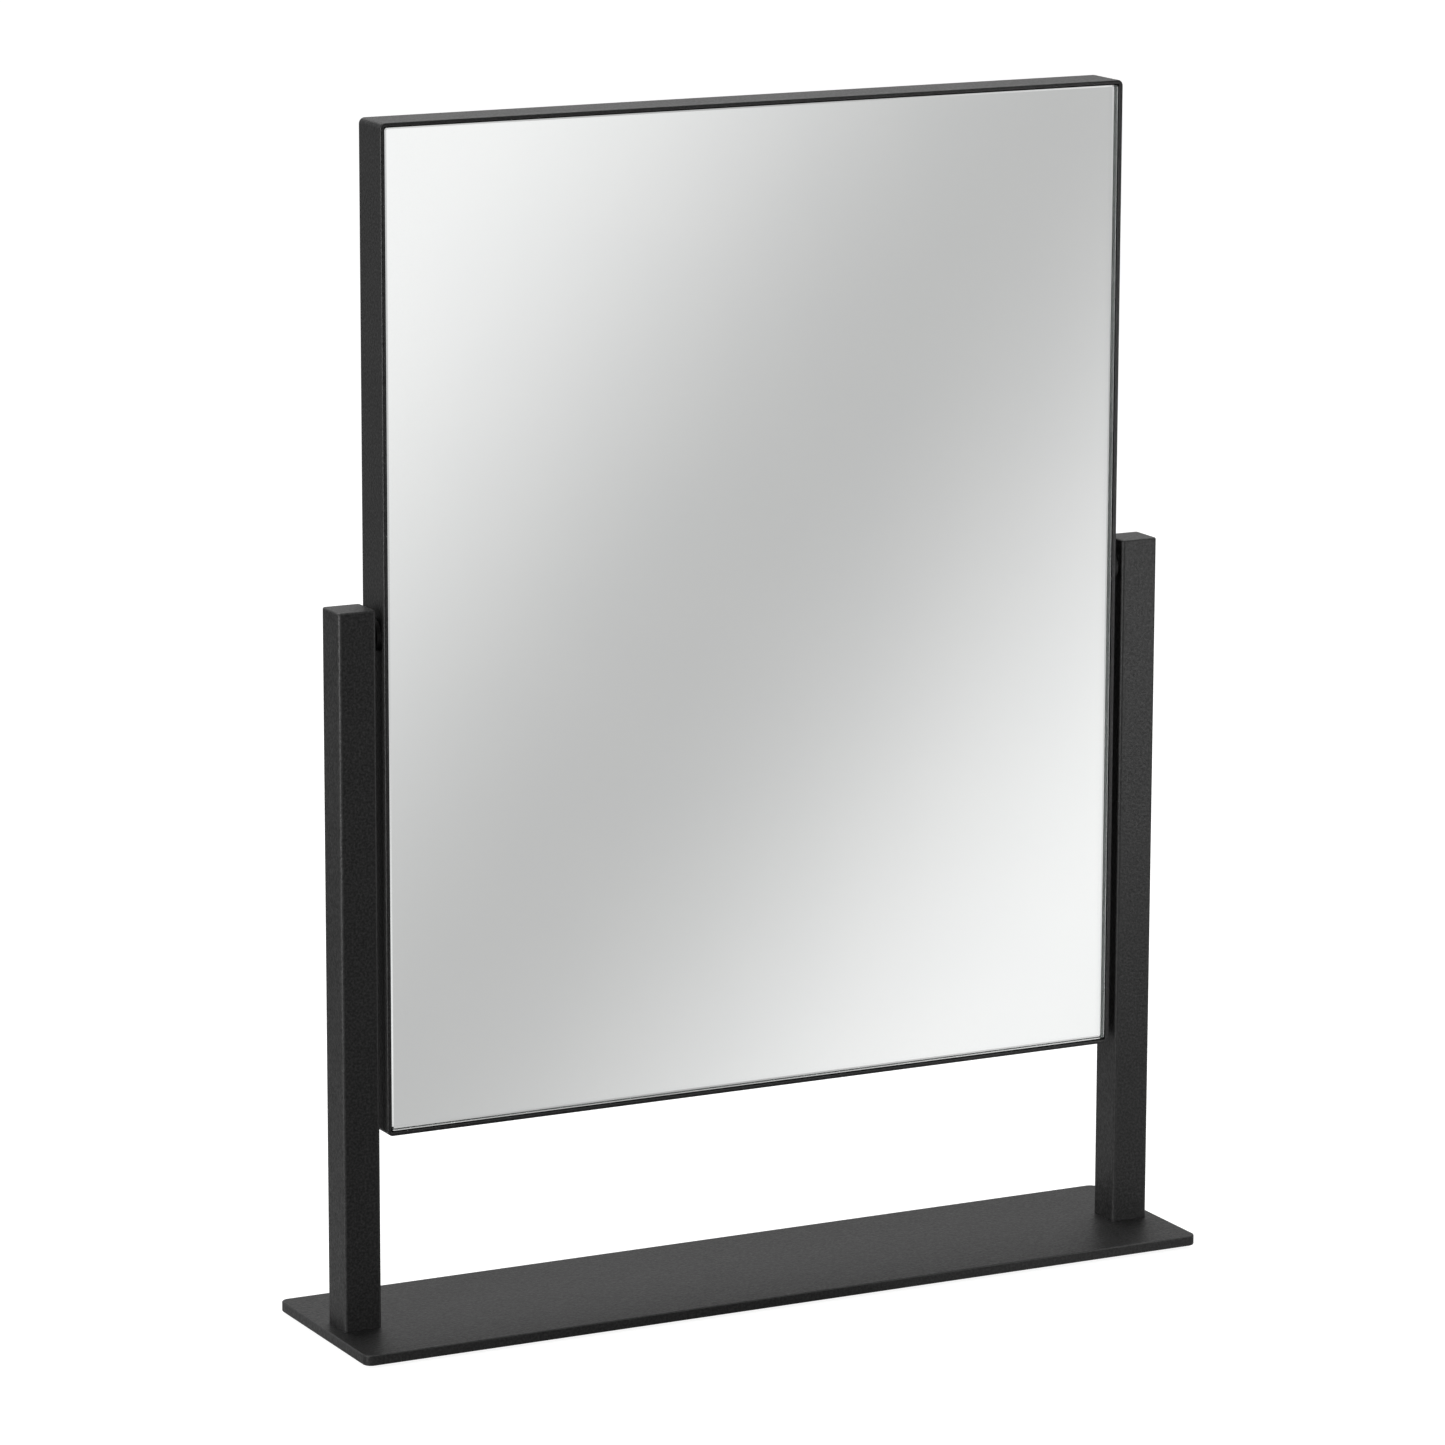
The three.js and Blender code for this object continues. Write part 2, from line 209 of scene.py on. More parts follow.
def mixed(tree, share, first, second):
    """A colour on the way from the first to the second."""
    made = node(tree, "ShaderNodeMix", data_type="RGBA")
    for socket, value in (("Factor", share), ("A", first), ("B", second)):
        target = [s for s in made.inputs if s.name == socket and s.enabled][0]
        if isinstance(value, bpy.types.NodeSocket):
            tree.links.new(value, target)
        else:
            target.default_value = value
    return [s for s in made.outputs if s.enabled][0]


def bumped(tree, height, distance, strength, normal=None):
    """The surface's normal with this relief, on top of another if one is given."""
    inputs = {"Height": height, "Distance": distance, "Strength": strength}
    if normal is not None:
        inputs["Normal"] = normal
    return node(tree, "ShaderNodeBump", inputs).outputs["Normal"]


def new_material(name):
    """A material, its tree, its shader and the socket with the place on the object."""
    material = bpy.data.materials.new(name)
    material.use_nodes = True
    tree = material.node_tree
    shader = tree.nodes["Principled BSDF"]
    place = node(tree, "ShaderNodeTexCoord").outputs["Object"]
    return material, tree, shader, place


def connect(tree, shader, **sockets):
    """Sets or links the shader's inputs; an underscore in a name stands for a space."""
    for name, value in sockets.items():
        target = shader.inputs[name.replace("_", " ")]
        if isinstance(value, bpy.types.NodeSocket):
            tree.links.new(value, target)
        else:
            target.default_value = value


def grey(level):
    return (level, level, level, 1.0)


# ------------------------------------------------------------------ materials

def powder_coat():
    """Satin black powder coat: fine grain, slight orange peel, and paler on the edges, partly from a thinner
    coat and partly as a painted highlight.
    """
    material, tree, shader, place = new_material("black_powder_coat")
    grain = noise(tree, place, 850, detail=4)
    speckle = noise(tree, place, 1150, detail=3)
    mottle = noise(tree, place, 55, detail=3)
    peel = noise(tree, place, 240, detail=1)
    edge = node(tree, "ShaderNodeAttribute", attribute_name=EDGE_ATTRIBUTE).outputs["Fac"]
    # Edge mask: the paler edges are partly wear and partly a painted highlight where the rounding catches
    # light.
    edge_wear_and_highlight = node(tree, "ShaderNodeMath", {0: edge, 1: spread(tree, grain, 0.2, 0.8)}, operation="MULTIPLY")
    cloudy = mixed(tree, spread(tree, mottle, 0.0, 1.0), grey(0.003), grey(0.006))
    grainy = mixed(tree, spread(tree, speckle, 0.0, 1.0, 0.4, 0.72), cloudy, grey(0.024))
    colour = mixed(tree, edge_wear_and_highlight.outputs[0], grainy, grey(0.035))
    roughness = spread(tree, grain, 0.36, 0.52)
    normal = bumped(tree, peel, 0.05 * MM, 0.4)
    normal = bumped(tree, grain, 0.19 * MM, 0.8, normal)
    connect(tree, shader, Base_Color=colour, Roughness=roughness, Normal=normal, IOR=1.36)
    return material


def silver_layer():
    """The silver behind the glass, with the faintest cloudiness."""
    material, tree, shader, place = new_material("silver_layer")
    haze = noise(tree, place, 14, detail=2)
    colour = mixed(tree, spread(tree, haze, 0.0, 1.0), (0.925, 0.93, 0.93, 1), (0.94, 0.943, 0.94, 1))
    connect(tree, shader, Base_Color=colour, Metallic=1.0)
    connect(tree, shader, Roughness=spread(tree, haze, 0.0005, 0.003))
    return material


def clear_glass():
    """The polished front and arris of the glass."""
    material, tree, shader, place = new_material("clear_glass")
    tint = noise(tree, place, 9, detail=2)
    colour = mixed(tree, spread(tree, tint, 0.0, 1.0), (0.985, 0.995, 0.99, 1), (0.995, 1.0, 0.997, 1))
    connect(tree, shader, Base_Color=colour, IOR=1.5, Transmission_Weight=1.0)
    connect(tree, shader, Roughness=spread(tree, tint, 0.0005, 0.003))
    return material


def ground_edge():
    """The ground sides of the glass, slightly green and dark: their darkness is partly painted shade from the
    dark gap round the glass.
    """
    material, tree, shader, place = new_material("ground_glass_edge")
    grind = noise(tree, place, 1500, detail=3)
    streak = noise(tree, place, 120, detail=2)
    # Dark grey-green: the glass's own green, darkened as painted shade of the gap by the frame.
    colour = mixed(tree, spread(tree, streak, 0.0, 1.0), (0.1, 0.12, 0.11, 1), (0.17, 0.19, 0.18, 1))
    connect(tree, shader, Base_Color=colour, Roughness=spread(tree, grind, 0.4, 0.6))
    connect(tree, shader, Normal=bumped(tree, grind, 0.01 * MM, 0.5))
    return material


def zinc_steel():
    """Zinc-plated steel, with faint spangle and machining marks."""
    material, tree, shader, place = new_material("zinc_plated_steel")
    spangle = node(tree, "ShaderNodeTexVoronoi", {"Vector": place, "Scale": 700.0}).outputs["Distance"]
    fine = noise(tree, place, 2600, detail=2)
    colour = mixed(tree, spread(tree, spangle, 0, 1, 0.1, 0.7), (0.5, 0.51, 0.53, 1), (0.62, 0.63, 0.64, 1))
    connect(tree, shader, Base_Color=colour, Metallic=1.0)
    connect(tree, shader, Roughness=spread(tree, fine, 0.26, 0.4))
    connect(tree, shader, Normal=bumped(tree, fine, 0.008 * MM, 0.4))
    return material


def plain_grained(name, dark, light, scale, rough, depth, ior=1.45):
    """A moulded or sheet material: two close tones, a roughness band and a fine bump."""
    material, tree, shader, place = new_material(name)
    grain = noise(tree, place, scale, detail=4)
    tone = noise(tree, place, scale / 12, detail=2)
    connect(tree, shader, Base_Color=mixed(tree, spread(tree, tone, 0.0, 1.0), dark, light))
    connect(tree, shader, Roughness=spread(tree, grain, *rough))
    connect(tree, shader, Normal=bumped(tree, grain, depth, 0.6), IOR=ior)
    return material


MATERIALS = {
    "black_powder_coat": powder_coat(),
    "mirror_silver": silver_layer(),
    "zinc_plated_steel": zinc_steel(),
    # Near-black nylon: its own black, darkened further as painted shade in the gap between the posts and the
    # frame.
    "black_nylon": plain_grained(
        "black_nylon", grey(0.004), grey(0.006), 1400, (0.6, 0.7), 0.015 * MM, ior=1.4
    ),
    "black_rubber": plain_grained(
        "black_rubber", grey(0.009), grey(0.016), 1100, (0.75, 0.9), 0.03 * MM
    ),
    "foam_tape": plain_grained(
        "foam_tape", (0.66, 0.66, 0.62, 1), (0.76, 0.76, 0.72, 1), 1600, (0.8, 0.95), 0.05 * MM
    ),
    "hardboard": plain_grained(
        "hardboard", (0.12, 0.075, 0.045, 1), (0.2, 0.13, 0.08, 1), 1000, (0.7, 0.85), 0.04 * MM
    ),
}
GLASS_FRONT = clear_glass()
GLASS_SIDES = ground_edge()

# The order of the materials on the glass.
SILVER, GROUND, CLEAR = range(3)

SLOT_OF = {part["node"]: part["material_slot"] for part in frame["record"]["subparts"]}
BODY_OF = {
    member: body
    for body, members in frame["record"]["behaviour"]["bodies"].items()
    for member in members
}


# ------------------------------------------------------------------ meshes

def rounded_rectangle(width, height, radius):
    """A rectangle with round corners, anticlockwise, as (x, y, on_corner) points."""
    points = []
    for quarter, (side_x, side_y) in enumerate(((1, 1), (-1, 1), (-1, -1), (1, -1))):
        centre_x = side_x * (width / 2 - radius)
        centre_y = side_y * (height / 2 - radius)
        for step in range(CORNER_STEPS + 1):
            angle = (quarter + step / CORNER_STEPS) * math.pi / 2
            on_corner = float(0 < step < CORNER_STEPS)
            x = centre_x + radius * math.cos(angle)
            y = centre_y + radius * math.sin(angle)
            points.append((x, y, on_corner))
    return points


def arc(inset, rise, radius, start):
    """A quarter round from this many quarter turns on, as (inset, rise, on_edge) points of a section."""
    points = []
    for step in range(ARC_STEPS + 1):
        angle = (start + step / ARC_STEPS) * math.pi / 2
        on_edge = float(0 < step < ARC_STEPS)
        points.append((inset - radius * math.cos(angle), rise + radius * math.sin(angle), on_edge))
    return points


def plate_section(thickness, lower_edge, upper_edge):
    """From the lower face's rim, round the outside, to the upper face's rim."""
    section = []
    if lower_edge:
        section += arc(lower_edge, lower_edge, lower_edge, -1)
    else:
        section.append((0.0, 0.0, 0.0))
    if upper_edge:
        section += arc(upper_edge, thickness - upper_edge, upper_edge, 0)
    else:
        section.append((0.0, thickness, 0.0))
    return section


def ring_section(depth, wall, edge):
    """Right round the wall of a ring or tube, with its four edges eased."""
    outside = arc(edge, edge, edge, -1) + arc(edge, depth - edge, edge, 0)
    inside = arc(wall - edge, depth - edge, edge, 1) + arc(wall - edge, edge, edge, 2)
    return outside + inside


def mesh_from_loops(loops, closed):
    """Joins loops of (x, y, z, on_edge) points, and caps the ends or joins the last to the first."""
    made = bmesh.new()
    # This layer marks rounded edges for the powder coat's paler edges: partly wear, partly painted highlight.
    edge_wear_and_highlight = made.verts.layers.float.new(EDGE_ATTRIBUTE)
    rows = []
    for loop in loops:
        row = []
        for x, y, z, on_edge in loop:
            vertex = made.verts.new((x, y, z))
            vertex[edge_wear_and_highlight] = on_edge
            row.append(vertex)
        rows.append(row)
    pairs = list(zip(rows, rows[1:]))
    if closed:
        pairs.append((rows[-1], rows[0]))
    for lower, upper in pairs:
        for here in range(len(lower)):
            ahead = (here + 1) % len(lower)
            made.faces.new((lower[here], lower[ahead], upper[ahead], upper[here]))
    if not closed:
        made.faces.new(reversed(rows[0]))
        made.faces.new(rows[-1])
    bmesh.ops.remove_doubles(made, verts=made.verts, dist=MERGE_DISTANCE)
    return made


def new_piece(name, made, material):
    """A mesh object in the scene, made of this material."""
    data = bpy.data.meshes.new(name)
    made.to_mesh(data)
    made.free()
    piece = bpy.data.objects.new(name, data)
    bpy.context.scene.collection.objects.link(piece)
    data.materials.append(material)
    return piece


def shade(piece):
    """Smooth shading that keeps the sharp edges, and keeps flat faces flat."""
    data = piece.data
    data.polygons.foreach_set("use_smooth", [True] * len(data.polygons))
    data.set_sharp_from_angle(angle=SHARP_ANGLE)
    weighted = piece.modifiers.new("weighted_normals", "WEIGHTED_NORMAL")
    weighted.keep_sharp = True


def framed(width, height, radius, section, closed, worn_and_highlit_corners=0.0):
    """A plate or ring: the section swept round a rounded rectangle."""
    loops = []
    for inset, rise, on_edge in section:
        corner = max(radius - inset, LEAST_RADIUS)
        outline = rounded_rectangle(width - 2 * inset, height - 2 * inset, corner)
        # Corner arcs may join the edge mask: their paler colour is partly wear and partly a painted highlight.
        loops.append([(x, y, rise, max(on_edge, worn_and_highlit_corners * at)) for x, y, at in outline])
    return mesh_from_loops(loops, closed)


def turned(section, closed=False):
    """A round piece about +Z: the section's (radius, height, on_edge) points swept round the axis."""
    loops = []
    for radius, height, on_edge in section:
        angles = [step * 2 * math.pi / ROUND_STEPS for step in range(ROUND_STEPS)]
        loops.append([(radius * math.cos(a), radius * math.sin(a), height, on_edge) for a in angles])
    return mesh_from_loops(loops, closed)


def carve(piece, cutter_mesh, place):
    """Cuts the shape out of the piece, and removes the cutter."""
    cutter = new_piece("cutter", cutter_mesh, piece.data.materials[0])
    cutter.data.transform(place)
    cut = piece.modifiers.new("cut", "BOOLEAN")
    cut.operation = "DIFFERENCE"
    cut.solver = "EXACT"
    cut.object = cutter
    evaluated = piece.evaluated_get(bpy.context.evaluated_depsgraph_get())
    data = bpy.data.meshes.new_from_object(evaluated)
    piece.modifiers.clear()
    piece.data = data
    bpy.data.objects.remove(cutter)


def drill(radius, length):
    """A cylinder about +Z, centred on the origin."""
    return turned([(radius, -length / 2, 0.0), (radius, length / 2, 0.0)])


def centre_of(node_name):
    low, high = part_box(node_name)
    return (low + high) / 2


def measured(node_name):
    """The low corner, centre and size of a CAD node."""
    low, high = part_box(node_name)
    return low, (low + high) / 2, high - low


def moved(piece, x, y, z, turn=None):
    """Turns the piece's mesh about the origin, if asked, and moves it to this place."""
    place = Matrix.Translation((x, y, z))
    piece.data.transform(place @ turn if turn else place)


def stand_for(piece, node_name):
    """The piece replaces this CAD node, on its body and in its finish."""
    shade(piece)
    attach(piece, BODY_OF[node_name])
    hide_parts(node_name)


# ------------------------------------------------------------------ pieces of the stand

def hex_socket(across, depth):
    """A six-sided cutter down from the origin, with this size across its flats."""
    made = bmesh.new()
    bmesh.ops.create_cone(
        made,
        cap_ends=True,
        segments=6,
        radius1=across / math.sqrt(3),
        radius2=across / math.sqrt(3),
        depth=2 * depth,
    )
    return made


def build_base_screw(side):
    """A countersunk screw with a hex socket, its head facing down."""
    node_name = side + "_base_screw"
    low, centre, size = measured(node_name)
    head_radius = size.x / 2
    cone_end = SCREW_RIM + head_radius - BASE_SCREW_SHANK
    section = [
        (head_radius - SCREW_EDGE, 0.0, 0.0),
        (head_radius, SCREW_EDGE, 1.0),
        (head_radius, SCREW_RIM, 0.0),
        (BASE_SCREW_SHANK, cone_end, 0.0),
        (BASE_SCREW_SHANK, size.z - SCREW_POINT, 0.0),
        (BASE_SCREW_SHANK - SCREW_POINT, size.z, 0.0),
    ]
    piece = new_piece(node_name + "_fine", turned(section), MATERIALS["zinc_plated_steel"])
    carve(piece, hex_socket(HEX_ACROSS, HEX_DEPTH), Matrix.Identity(4))
    moved(piece, centre.x, centre.y, low.z)
    stand_for(piece, node_name)


def build_base():
    """The plate, countersunk from beneath for its two screws."""
    low, _, size = measured("base_plate")
    section = plate_section(size.z, BASE_EDGE, BASE_EDGE)
    made = framed(size.x, size.y, BASE_CORNER, section, closed=False)
    piece = new_piece("base_plate_fine", made, MATERIALS["black_powder_coat"])
    moved(piece, 0, 0, low.z)
    for side in SIDES:
        _, centre, screw_size = measured(side + "_base_screw")
        mouth = screw_size.x / 2 + COUNTERSINK_GAP
        shank = BASE_SCREW_SHANK + SHANK_GAP
        cone = turned([
            (mouth + PAST, -PAST, 0.0),
            (shank, mouth - shank, 0.0),
            (shank, size.z + PAST, 0.0),
        ])
        carve(piece, cone, Matrix.Translation((centre.x, centre.y, low.z)))
    stand_for(piece, "base_plate")


def build_post(side):
    """A square tube with the insert's hole in its inner wall."""
    node_name = side + "_post"
    low, centre, size = measured(node_name)
    section = ring_section(size.z, POST_WALL, POST_END_EDGE)
    # The tube's corner arcs get the paler edge colour: partly wear, partly a painted highlight.
    made = framed(size.x, size.y, POST_CORNER, section, closed=True, worn_and_highlit_corners=1.0)
    piece = new_piece(node_name + "_fine", made, MATERIALS["black_powder_coat"])
    moved(piece, centre.x, centre.y, low.z)
    insert = centre_of(side + "_pivot_insert")
    wall_x = centre.x - SIDES[side] * size.x / 2
    hole = Matrix.Translation((wall_x, insert.y, insert.z)) @ ACROSS
    carve(piece, drill(INSERT_HOLE, 4 * POST_WALL), hole)
    stand_for(piece, node_name)


def build_cap(side):
    """The plate that closes a post's top."""
    node_name = side + "_post_cap"
    low, centre, size = measured(node_name)
    section = plate_section(size.z, 0.0, CAP_EDGE)
    # The cap's corner arcs get the paler edge colour: partly wear, partly a painted highlight.
    made = framed(size.x, size.y, POST_CORNER, section, closed=False, worn_and_highlit_corners=1.0)
    piece = new_piece(node_name + "_fine", made, MATERIALS["black_powder_coat"])
    moved(piece, centre.x, centre.y, low.z)
    stand_for(piece, node_name)


def build_pad(node_name):
    """A stick-on rubber foot with a soft lower edge."""
    low, centre, size = measured(node_name)
    radius = size.x / 2
    edge = arc(PAD_EDGE, PAD_EDGE, PAD_EDGE, -1)
    section = [(radius - inset, rise, on_edge) for inset, rise, on_edge in edge]
    section.append((radius, size.z, 0.0))
    piece = new_piece(node_name + "_fine", turned(section), MATERIALS["black_rubber"])
    moved(piece, centre.x, centre.y, low.z)
    stand_for(piece, node_name)


def build_pivot_insert(side):
    """The rivet nut in the post's wall, its flange towards the mirror."""
    node_name = side + "_pivot_insert"
    _, centre, size = measured(node_name)
    flange_radius = size.y / 2
    bulge_start = size.x - BULGE_START
    bulge_end = bulge_start - BULGE_LENGTH
    section = [
        (INSERT_RADIUS, 0.0, 0.0),
        (INSERT_RADIUS, bulge_end, 0.0),
        (INSERT_BULGE, bulge_end + BULGE_SLOPE, 0.0),
        (INSERT_BULGE, bulge_start - BULGE_SLOPE, 0.0),
        (INSERT_RADIUS, bulge_start, 0.0),
        (INSERT_RADIUS, size.x - INSERT_FLANGE, 0.0),
        (flange_radius, size.x - INSERT_FLANGE, 0.0),
        (flange_radius, size.x - SCREW_EDGE, 0.0),
        (flange_radius - SCREW_EDGE, size.x, 1.0),
        (INSERT_BORE, size.x, 0.0),
        (INSERT_BORE, 0.0, 0.0),
    ]
    made = turned(section, closed=True)
    piece = new_piece(node_name + "_fine", made, MATERIALS["zinc_plated_steel"])
    far_x = centre.x + SIDES[side] * size.x / 2
    inwards = Matrix.Rotation(-SIDES[side] * math.pi / 2, 4, "Y")
    moved(piece, far_x, centre.y, centre.z, inwards)
    stand_for(piece, node_name)


def build_friction_washer(side):
    """The nylon ring between a post and the frame."""
    node_name = side + "_friction_washer"
    low, centre, size = measured(node_name)
    radius = size.y / 2
    ring = ring_section(size.x, radius - PIVOT_HOLE, WASHER_EDGE)
    section = [(radius - inset, rise, on_edge) for inset, rise, on_edge in ring]
    made = turned(section, closed=True)
    piece = new_piece(node_name + "_fine", made, MATERIALS["black_nylon"])
    moved(piece, low.x, centre.y, centre.z, ACROSS)
    stand_for(piece, node_name)


# ------------------------------------------------------------------ pieces of the mirror

def build_mirror_frame():
    """The ring of flat strip, with a hole for each pivot bolt."""
    _, centre, size = measured("mirror_frame")
    section = ring_section(size.y, FRAME_WALL, FRAME_EDGE)
    made = framed(size.x, size.z, FRAME_CORNER, section, closed=True)
    piece = new_piece("mirror_frame_fine", made, MATERIALS["black_powder_coat"])
    moved(piece, centre.x, centre.y + size.y / 2, centre.z, UPRIGHT)
    for side, sign in SIDES.items():
        pivot = centre_of(side + "_friction_washer")
        edge_x = centre.x + sign * size.x / 2
        hole = Matrix.Translation((edge_x, pivot.y, pivot.z)) @ ACROSS
        carve(piece, drill(PIVOT_HOLE, 4 * FRAME_WALL), hole)
    stand_for(piece, "mirror_frame")


def build_mirror_glass():
    """Clear glass with ground sides and a small front arris, silvered on its back."""
    _, centre, size = measured("mirror_glass")
    section = [
        (0.0, 0.0, 0.0),
        (0.0, size.y - GLASS_ARRIS, 0.0),
        (GLASS_ARRIS, size.y, 0.0),
    ]
    made = framed(size.x, size.z, GLASS_CORNER, section, closed=False)
    piece = new_piece("mirror_glass_fine", made, MATERIALS["mirror_silver"])
    piece.data.materials.append(GLASS_SIDES)
    piece.data.materials.append(GLASS_FRONT)
    for face in piece.data.polygons:
        if face.normal.z < -0.99:
            face.material_index = SILVER
        elif face.normal.z < 0.1:
            face.material_index = GROUND
        else:
            face.material_index = CLEAR
    moved(piece, centre.x, centre.y + size.y / 2, centre.z, UPRIGHT)
    stand_for(piece, "mirror_glass")


def build_back_panel():
    """The sheet that closes the back, with its four screw holes."""
    _, centre, size = measured("back_panel")
    back_y = centre.y + size.y / 2
    section = plate_section(size.y, PANEL_EDGE, PANEL_EDGE)
    made = framed(size.x, size.z, PANEL_CORNER, section, closed=False)
    piece = new_piece("back_panel_fine", made, MATERIALS["black_powder_coat"])
    moved(piece, centre.x, back_y, centre.z, UPRIGHT)
    for node_name in PANEL_SCREWS:
        screw = centre_of(node_name)
        hole = Matrix.Translation((screw.x, back_y, screw.z)) @ UPRIGHT
        carve(piece, drill(PANEL_HOLE, 6 * size.y), hole)
    stand_for(piece, "back_panel")


def cross_bar():
    """One bar of a cross recess about the origin, shorter at its floor."""
    made = bmesh.new()
    bmesh.ops.create_cube(made, size=1.0)
    for vertex in made.verts:
        reach = 1.0 if vertex.co.z > 0 else CROSS_TAPER
        vertex.co.x *= CROSS_LENGTH * reach
        vertex.co.y *= CROSS_WIDTH
        vertex.co.z *= 2 * CROSS_DEPTH
    return made


def build_panel_screw(node_name):
    """A pan-head screw with a tapered cross recess, its head facing +Y."""
    _, centre, size = measured(node_name)
    head_radius = size.x / 2
    tip = PAN_HEIGHT - size.y
    section = [
        (PAN_SHANK - PAN_POINT, tip, 0.0),
        (PAN_SHANK, tip + PAN_POINT, 0.0),
        (PAN_SHANK, 0.0, 0.0),
        (head_radius, 0.0, 0.0),
    ]
    dome = arc(PAN_DOME, PAN_HEIGHT - PAN_DOME, PAN_DOME, 0)
    section += [(head_radius - inset, rise, on_edge) for inset, rise, on_edge in dome]
    piece = new_piece(node_name + "_fine", turned(section), MATERIALS["zinc_plated_steel"])
    for quarter in (0, 1):
        turn = Matrix.Rotation(quarter * math.pi / 2, 4, "Z")
        carve(piece, cross_bar(), Matrix.Translation((0, 0, PAN_HEIGHT)) @ turn)
    head_y = centre.y + size.y / 2 - PAN_HEIGHT
    moved(piece, centre.x, head_y, centre.z, UPRIGHT.inverted())
    stand_for(piece, node_name)


def build_object():
    build_base()
    for side in SIDES:
        build_base_screw(side)
        build_pivot_insert(side)
        build_post(side)
        build_cap(side)
        build_friction_washer(side)
    for node_name in PADS:
        build_pad(node_name)
    build_mirror_frame()
    build_mirror_glass()
    build_back_panel()
    for node_name in PANEL_SCREWS:
        build_panel_screw(node_name)


def finish_cad_nodes():
    """Every CAD node gets its slot's material; the ones that stay are inside the object."""
    for name, item in frame["nodes"].items():
        item.data.materials.clear()
        item.data.materials.append(MATERIALS[SLOT_OF[name]])


# ------------------------------------------------------------------ studio

def light_path(tree, name):
    return node(tree, "ShaderNodeLightPath").outputs[name]


def towards_camera_side(tree, direction):
    """From 0 at the sides and back of the studio to 1 in its darkest direction, round the camera."""
    straight = node(tree, "ShaderNodeVectorMath", {0: direction}, operation="NORMALIZE")
    facing = node(
        tree,
        "ShaderNodeVectorMath",
        {0: straight.outputs["Vector"], 1: DARK_SIDE},
        operation="DOT_PRODUCT",
    )
    share = node(
        tree,
        "ShaderNodeMapRange",
        {"Value": facing.outputs["Value"], "From Min": 0.0, "From Max": 0.9},
        interpolation_type="SMOOTHSTEP",
    )
    return share.outputs["Result"]


def between(tree, share, first, second):
    """A number on the way from the first to the second."""
    inputs = {"Value": share, "To Min": first, "To Max": second}
    return node(tree, "ShaderNodeMapRange", inputs).outputs["Result"]


def glow(tree, strength):
    return node(tree, "ShaderNodeEmission", {"Color": grey(1.0), "Strength": strength}).outputs[0]


def by_ray(tree, for_camera, for_mirror, for_rest):
    """One shader for camera rays, one for rays off or through something smooth, one for the others."""
    smooth = node(
        tree,
        "ShaderNodeMixShader",
        {0: light_path(tree, "Is Singular Ray"), 1: for_rest, 2: for_mirror},
    )
    return node(
        tree,
        "ShaderNodeMixShader",
        {0: light_path(tree, "Is Camera Ray"), 1: smooth.outputs[0], 2: for_camera},
    ).outputs[0]


def build_world():
    """White for the camera, and light all round that is dimmer on the camera's side."""
    world = bpy.data.worlds.new("studio")
    bpy.context.scene.world = world
    world.use_nodes = True
    tree = world.node_tree
    tree.nodes.clear()
    direction = node(tree, "ShaderNodeTexCoord").outputs["Generated"]
    level = between(tree, towards_camera_side(tree, direction), WORLD_BRIGHT, WORLD_DARK)
    surface = by_ray(tree, glow(tree, WORLD_SEEN), glow(tree, WORLD_MIRRORED), glow(tree, level))
    node(tree, "ShaderNodeOutputWorld", {"Surface": surface})


def arithmetic(tree, operation, first, second=0.0):
    made = node(tree, "ShaderNodeMath", {0: first, 1: second}, operation=operation)
    return made.outputs[0]


def soft_bands(tree, place):
    """The brightness of the soft diagonal bands that the mirror shows."""
    axis = node(tree, "ShaderNodeSeparateXYZ", {0: place}).outputs
    across = arithmetic(tree, "MULTIPLY", axis["X"], 1 / BAND_ACROSS)
    down = arithmetic(tree, "MULTIPLY", axis["Z"], -1 / BAND_DOWN)
    along = arithmetic(tree, "ADD", arithmetic(tree, "ADD", across, down), BAND_SHIFT)
    wave = arithmetic(tree, "COSINE", arithmetic(tree, "MULTIPLY", along, math.pi / BAND_PERIOD))
    return spread(tree, wave, BAND_BRIGHT, BAND_DIM, -1.0, 1.0)


def build_floor():
    """A white floor that is quieter in reflections, and carries the bands on in the mirror."""
    made = bmesh.new()
    bmesh.ops.create_grid(made, x_segments=1, y_segments=1, size=FLOOR_HALF_SIZE)
    material, tree, shader, place = new_material("white_floor")
    connect(tree, shader, Base_Color=grey(0.3), Roughness=1.0, Specular_IOR_Level=0.0)
    lit = glow(tree, FLOOR_SEEN)
    white = node(tree, "ShaderNodeAddShader", {0: shader.outputs[0], 1: lit}).outputs[0]
    away = node(tree, "ShaderNodeVectorMath", {0: place}, operation="LENGTH").outputs["Value"]
    nearness = spread(tree, away, 0.0, 1.0, FLOOR_FAR_RADIUS, FLOOR_NEAR_RADIUS)
    bright = between(tree, nearness, FLOOR_FAR, FLOOR_NEAR)
    level = between(tree, towards_camera_side(tree, place), bright, FLOOR_DARK)
    surface = by_ray(tree, white, glow(tree, soft_bands(tree, place)), glow(tree, level))
    tree.links.new(surface, tree.nodes["Material Output"].inputs["Surface"])
    floor = new_piece("floor", made, material)
    moved(floor, 0, 0, cad_low.z - FLOOR_DROP)


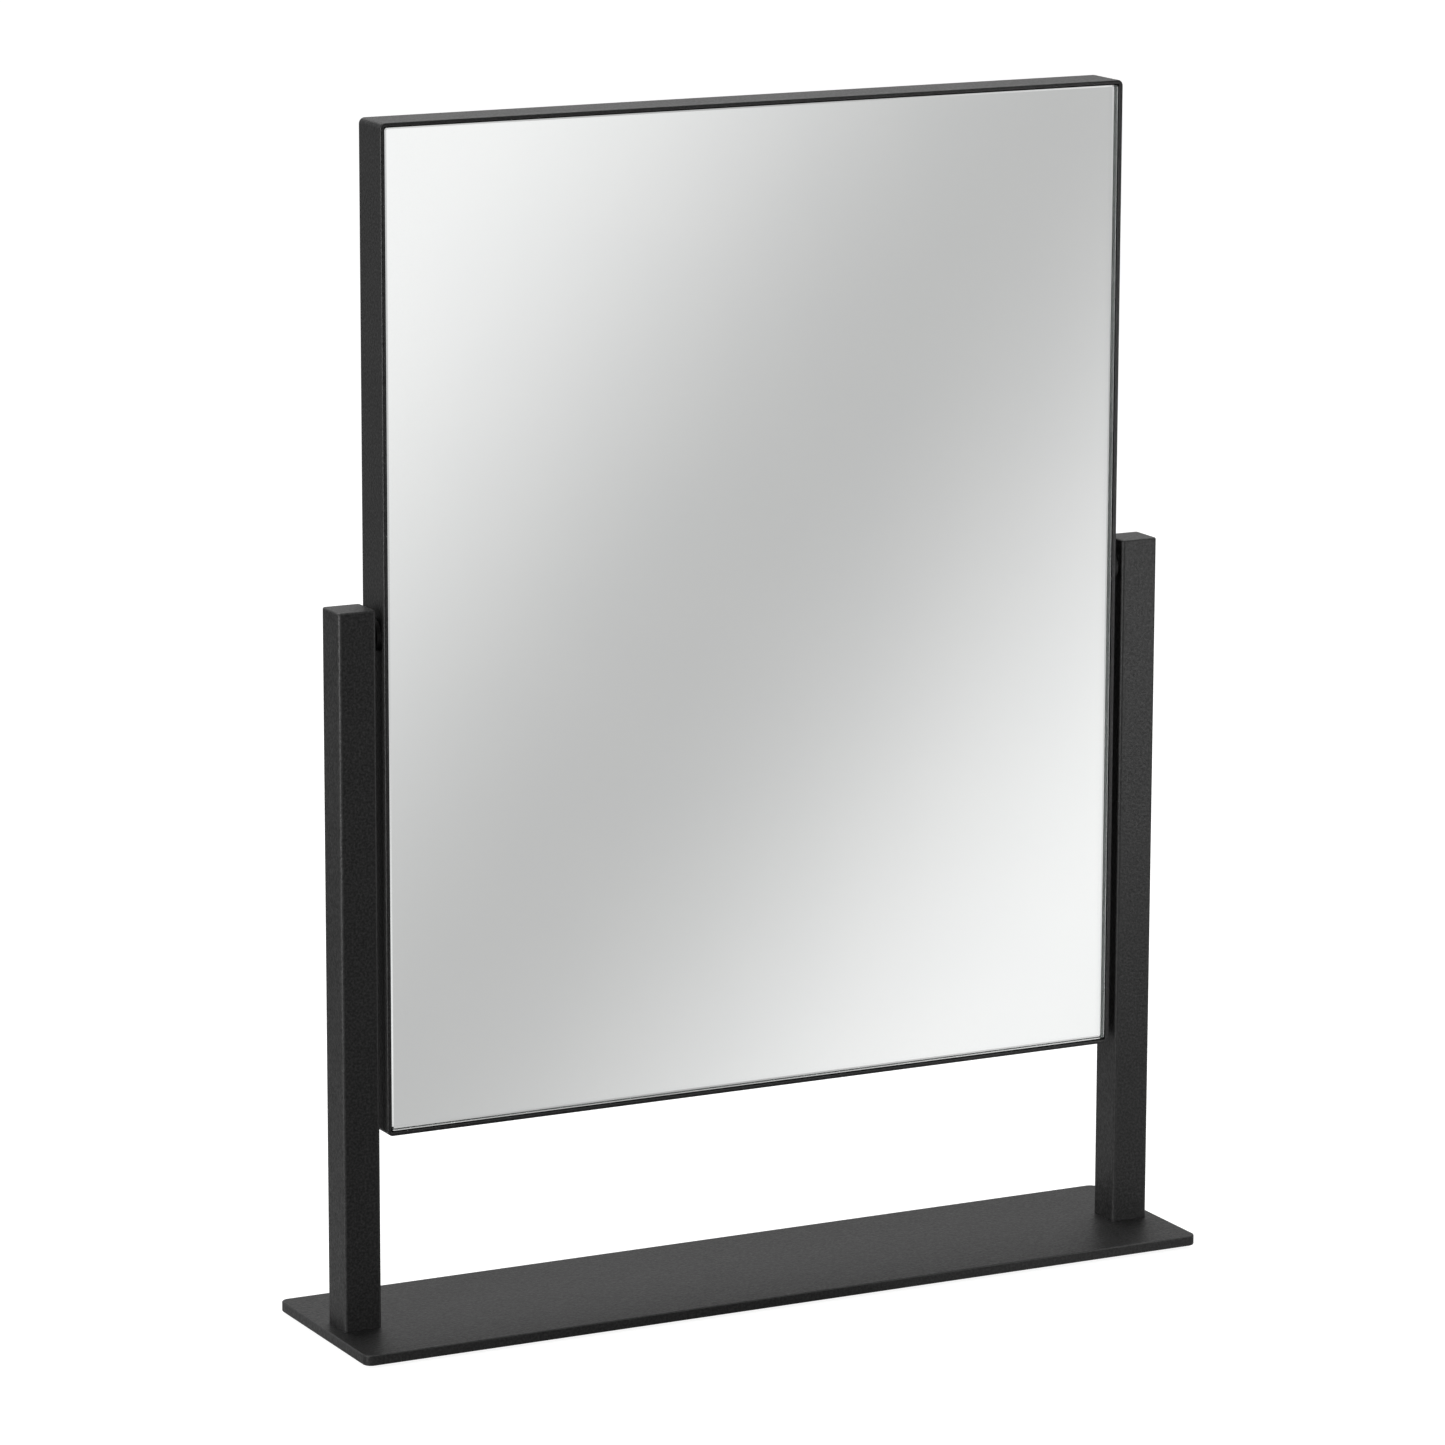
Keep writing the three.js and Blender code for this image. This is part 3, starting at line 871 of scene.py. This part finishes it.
def build_reflected_card():
    """A large card before the mirror, standing on the floor, that only the mirror shows."""
    made = bmesh.new()
    bmesh.ops.create_grid(made, x_segments=1, y_segments=1, size=CARD_HALF_SIZE)
    material, tree, shader, place = new_material("reflected_card")
    tree.nodes.remove(shader)
    clear = node(tree, "ShaderNodeBsdfTransparent").outputs[0]
    surface = by_ray(tree, clear, glow(tree, soft_bands(tree, place)), clear)
    tree.links.new(surface, tree.nodes["Material Output"].inputs["Surface"])
    card = new_piece("reflected_card", made, material)
    moved(card, 0, cad_low.y - CARD_DISTANCE, CARD_HALF_SIZE, UPRIGHT)
    card.visible_diffuse = False
    card.visible_shadow = False


def build_light(name, place, target, size, power):
    """A soft box that neither the mirror nor the camera shows."""
    data = bpy.data.lights.new(name, "AREA")
    data.shape = "RECTANGLE"
    data.size, data.size_y = size
    data.energy = power
    data.use_nodes = True
    tree = data.node_tree
    hidden = light_path(tree, "Is Singular Ray")
    shown = node(tree, "ShaderNodeMath", {0: 1.0, 1: hidden}, operation="SUBTRACT").outputs[0]
    tree.links.new(shown, tree.nodes["Emission"].inputs["Strength"])
    light = bpy.data.objects.new(name, data)
    light.location = place
    light.rotation_mode = "QUATERNION"
    light.rotation_quaternion = (Vector(target) - Vector(place)).to_track_quat("-Z", "Y")
    light.visible_camera = False
    bpy.context.scene.collection.objects.link(light)


def build_camera():
    """A long lens from the front left, a little above the mirror's middle."""
    aim = (cad_low + cad_high) / 2 + AIM_OFFSET
    back = Vector((
        math.sin(CAMERA_AZIMUTH) * math.cos(CAMERA_ELEVATION),
        -math.cos(CAMERA_AZIMUTH) * math.cos(CAMERA_ELEVATION),
        math.sin(CAMERA_ELEVATION),
    ))
    data = bpy.data.cameras.new("camera")
    data.lens = CAMERA_LENS
    data.clip_end = 100
    camera = bpy.data.objects.new("camera", data)
    bpy.context.scene.collection.objects.link(camera)
    level = (-back).to_track_quat("-Z", "Y").to_matrix().to_4x4()
    roll = Matrix.Rotation(CAMERA_ROLL, 4, "Z")
    camera.matrix_world = Matrix.Translation(aim + back * CAMERA_DISTANCE) @ level @ roll
    bpy.context.scene.camera = camera


def build_studio():
    bpy.context.scene.view_settings.view_transform = "Standard"
    build_world()
    build_floor()
    build_reflected_card()
    for name, (place, target, size, power) in LIGHTS.items():
        build_light(name, place, target, size, power)
    build_camera()


# ------------------------------------------------------------------ assembly

build_object()
finish_cad_nodes()
build_studio()
